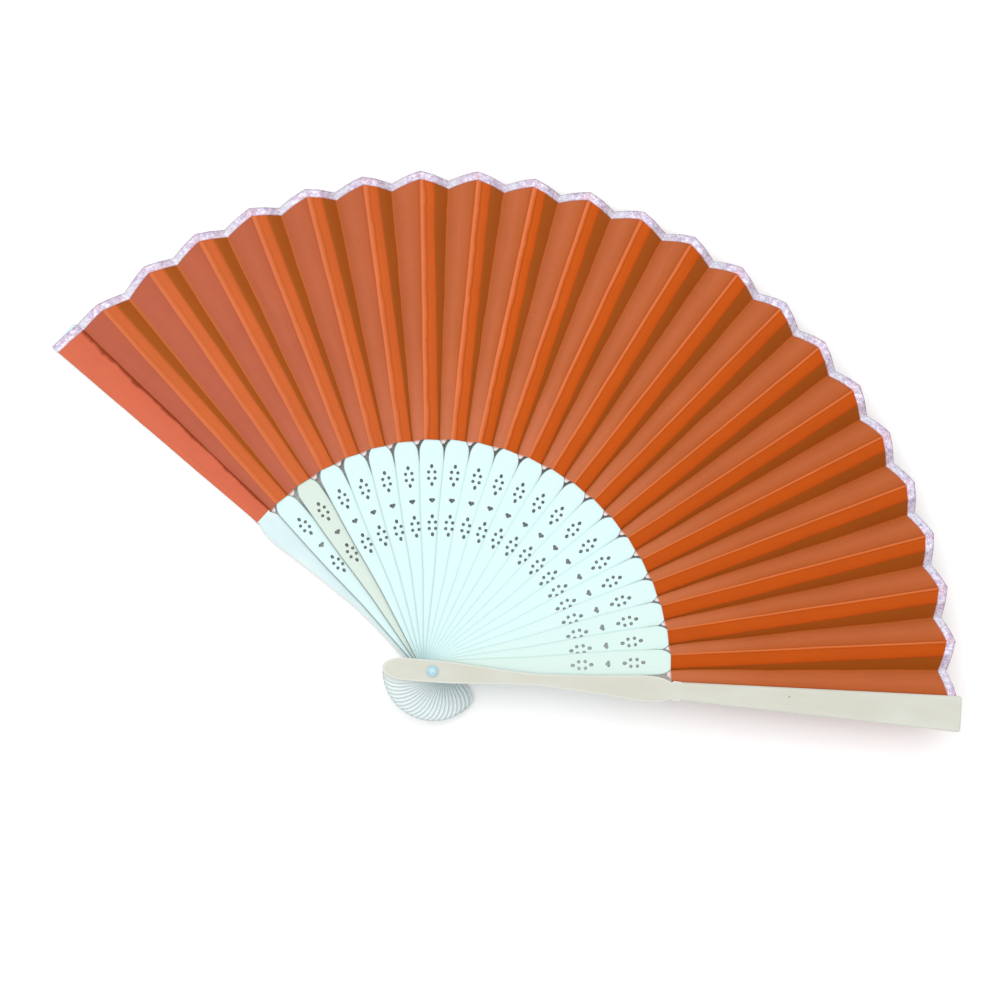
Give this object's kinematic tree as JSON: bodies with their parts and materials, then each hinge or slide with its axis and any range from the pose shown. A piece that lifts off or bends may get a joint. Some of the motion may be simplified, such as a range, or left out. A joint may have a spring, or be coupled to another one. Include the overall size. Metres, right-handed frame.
{
  "type": "folding fan",
  "caption": "Folding hand fan: flat perforated wooden ribs between two plain guards on one rivet, with a pleated cloth leaf glued on slips and bound with ribbon",
  "frame": {"origin": "the rivet's axis where it meets the outer face of the back guard, which is the face the fan lies on", "axes": "+Z along the rivet from the back guard to the front guard, +X across the open fan with the front guard close to it, +Y towards the middle of the open leaf"},
  "size_m": [0.3703, 0.2305, 0.0251],
  "materials": {
    "back_guard_wood": "thin pale mint paint over fine wood grain, satin",
    "front_guard_wood": "ivory lacquer over fine wood grain, satin",
    "rib_wood": "thin pale mint paint over fine wood grain, satin",
    "leaf_cloth": "fine plain-woven cloth with a satin sheen, pleated",
    "ribbon": "thin organza ribbon with a light glitter",
    "rivet_cap": "pearly gloss",
    "rivet_metal": "plain bright steel"
  },
  "bodies": {
    "back_stick": {"back_guard": "back_guard_wood", "rivet_pin": "rivet_metal", "rivet_cap": "rivet_cap", "rear_washer": "rivet_metal", "leaf_pleat_00": "leaf_cloth", "ribbon_back_end": "ribbon"},
    "stick_01": {"rib_01": "rib_wood", "leaf_pleat_01": "leaf_cloth"},
    "stick_02": {"rib_02": "rib_wood", "leaf_pleat_02": "leaf_cloth"},
    "stick_03": {"rib_03": "rib_wood", "leaf_pleat_03": "leaf_cloth"},
    "stick_04": {"rib_04": "rib_wood", "leaf_pleat_04": "leaf_cloth"},
    "stick_05": {"rib_05": "rib_wood", "leaf_pleat_05": "leaf_cloth"},
    "stick_06": {"rib_06": "rib_wood", "leaf_pleat_06": "leaf_cloth"},
    "stick_07": {"rib_07": "rib_wood", "leaf_pleat_07": "leaf_cloth"},
    "stick_08": {"rib_08": "rib_wood", "leaf_pleat_08": "leaf_cloth"},
    "stick_09": {"rib_09": "rib_wood", "leaf_pleat_09": "leaf_cloth"},
    "stick_10": {"rib_10": "rib_wood", "leaf_pleat_10": "leaf_cloth"},
    "stick_11": {"rib_11": "rib_wood", "leaf_pleat_11": "leaf_cloth"},
    "stick_12": {"rib_12": "rib_wood", "leaf_pleat_12": "leaf_cloth"},
    "stick_13": {"rib_13": "rib_wood", "leaf_pleat_13": "leaf_cloth"},
    "stick_14": {"rib_14": "rib_wood", "leaf_pleat_14": "leaf_cloth"},
    "stick_15": {"rib_15": "rib_wood", "leaf_pleat_15": "leaf_cloth"},
    "stick_16": {"rib_16": "rib_wood", "leaf_pleat_16": "leaf_cloth"},
    "stick_17": {"rib_17": "rib_wood", "leaf_pleat_17": "leaf_cloth"},
    "stick_18": {"rib_18": "rib_wood", "leaf_pleat_18": "leaf_cloth"},
    "stick_19": {"rib_19": "rib_wood", "leaf_pleat_19": "leaf_cloth"},
    "stick_20": {"rib_20": "rib_wood", "leaf_pleat_20": "leaf_cloth"},
    "stick_21": {"rib_21": "rib_wood", "leaf_pleat_21": "leaf_cloth"},
    "front_stick": {"front_guard": "front_guard_wood", "leaf_end": "leaf_cloth", "ribbon_front_end": "ribbon"}
  },
  "joints": [
    {"name": "fold_01", "type": "hinge", "parent": "back_stick", "child": "stick_01", "pos_m": [0, 0, 0], "axis": [0, 0, 1], "range_deg": [0, 6.1]},
    {"name": "fold_02", "type": "hinge", "parent": "stick_01", "child": "stick_02", "pos_m": [0, 0, 0], "axis": [0, 0, 1], "range_deg": [0, 6.98]},
    {"name": "fold_03", "type": "hinge", "parent": "stick_02", "child": "stick_03", "pos_m": [0, 0, 0], "axis": [0, 0, 1], "range_deg": [0, 6.93]},
    {"name": "fold_04", "type": "hinge", "parent": "stick_03", "child": "stick_04", "pos_m": [0, 0, 0], "axis": [0, 0, 1], "range_deg": [0, 6.87]},
    {"name": "fold_05", "type": "hinge", "parent": "stick_04", "child": "stick_05", "pos_m": [0, 0, 0], "axis": [0, 0, 1], "range_deg": [0, 6.82]},
    {"name": "fold_06", "type": "hinge", "parent": "stick_05", "child": "stick_06", "pos_m": [0, 0, 0], "axis": [0, 0, 1], "range_deg": [0, 6.77]},
    {"name": "fold_07", "type": "hinge", "parent": "stick_06", "child": "stick_07", "pos_m": [0, 0, 0], "axis": [0, 0, 1], "range_deg": [0, 6.72]},
    {"name": "fold_08", "type": "hinge", "parent": "stick_07", "child": "stick_08", "pos_m": [0, 0, 0], "axis": [0, 0, 1], "range_deg": [0, 6.66]},
    {"name": "fold_09", "type": "hinge", "parent": "stick_08", "child": "stick_09", "pos_m": [0, 0, 0], "axis": [0, 0, 1], "range_deg": [0, 6.61]},
    {"name": "fold_10", "type": "hinge", "parent": "stick_09", "child": "stick_10", "pos_m": [0, 0, 0], "axis": [0, 0, 1], "range_deg": [0, 6.56]},
    {"name": "fold_11", "type": "hinge", "parent": "stick_10", "child": "stick_11", "pos_m": [0, 0, 0], "axis": [0, 0, 1], "range_deg": [0, 6.51]},
    {"name": "fold_12", "type": "hinge", "parent": "stick_11", "child": "stick_12", "pos_m": [0, 0, 0], "axis": [0, 0, 1], "range_deg": [0, 6.45]},
    {"name": "fold_13", "type": "hinge", "parent": "stick_12", "child": "stick_13", "pos_m": [0, 0, 0], "axis": [0, 0, 1], "range_deg": [0, 6.4]},
    {"name": "fold_14", "type": "hinge", "parent": "stick_13", "child": "stick_14", "pos_m": [0, 0, 0], "axis": [0, 0, 1], "range_deg": [0, 6.35]},
    {"name": "fold_15", "type": "hinge", "parent": "stick_14", "child": "stick_15", "pos_m": [0, 0, 0], "axis": [0, 0, 1], "range_deg": [0, 6.3]},
    {"name": "fold_16", "type": "hinge", "parent": "stick_15", "child": "stick_16", "pos_m": [0, 0, 0], "axis": [0, 0, 1], "range_deg": [0, 6.24]},
    {"name": "fold_17", "type": "hinge", "parent": "stick_16", "child": "stick_17", "pos_m": [0, 0, 0], "axis": [0, 0, 1], "range_deg": [0, 6.19]},
    {"name": "fold_18", "type": "hinge", "parent": "stick_17", "child": "stick_18", "pos_m": [0, 0, 0], "axis": [0, 0, 1], "range_deg": [0, 6.14]},
    {"name": "fold_19", "type": "hinge", "parent": "stick_18", "child": "stick_19", "pos_m": [0, 0, 0], "axis": [0, 0, 1], "range_deg": [0, 6.09]},
    {"name": "fold_20", "type": "hinge", "parent": "stick_19", "child": "stick_20", "pos_m": [0, 0, 0], "axis": [0, 0, 1], "range_deg": [0, 6.03]},
    {"name": "fold_21", "type": "hinge", "parent": "stick_20", "child": "stick_21", "pos_m": [0, 0, 0], "axis": [0, 0, 1], "range_deg": [0, 5.98]},
    {"name": "fold_22", "type": "hinge", "parent": "stick_21", "child": "front_stick", "pos_m": [0, 0, 0], "axis": [0, 0, 1], "range_deg": [0, 7]}
  ],
  "couplings": [
    {"joint": "fold_02", "follows": "fold_01", "ratio": 1.1443},
    {"joint": "fold_03", "follows": "fold_01", "ratio": 1.1356},
    {"joint": "fold_04", "follows": "fold_01", "ratio": 1.127},
    {"joint": "fold_05", "follows": "fold_01", "ratio": 1.1184},
    {"joint": "fold_06", "follows": "fold_01", "ratio": 1.1098},
    {"joint": "fold_07", "follows": "fold_01", "ratio": 1.1011},
    {"joint": "fold_08", "follows": "fold_01", "ratio": 1.0925},
    {"joint": "fold_09", "follows": "fold_01", "ratio": 1.0839},
    {"joint": "fold_10", "follows": "fold_01", "ratio": 1.0752},
    {"joint": "fold_11", "follows": "fold_01", "ratio": 1.0666},
    {"joint": "fold_12", "follows": "fold_01", "ratio": 1.058},
    {"joint": "fold_13", "follows": "fold_01", "ratio": 1.0494},
    {"joint": "fold_14", "follows": "fold_01", "ratio": 1.0407},
    {"joint": "fold_15", "follows": "fold_01", "ratio": 1.0321},
    {"joint": "fold_16", "follows": "fold_01", "ratio": 1.0235},
    {"joint": "fold_17", "follows": "fold_01", "ratio": 1.0148},
    {"joint": "fold_18", "follows": "fold_01", "ratio": 1.0062},
    {"joint": "fold_19", "follows": "fold_01", "ratio": 0.99758},
    {"joint": "fold_20", "follows": "fold_01", "ratio": 0.98896},
    {"joint": "fold_21", "follows": "fold_01", "ratio": 0.98033},
    {"joint": "fold_22", "follows": "fold_01", "ratio": 1.1475}
  ]
}
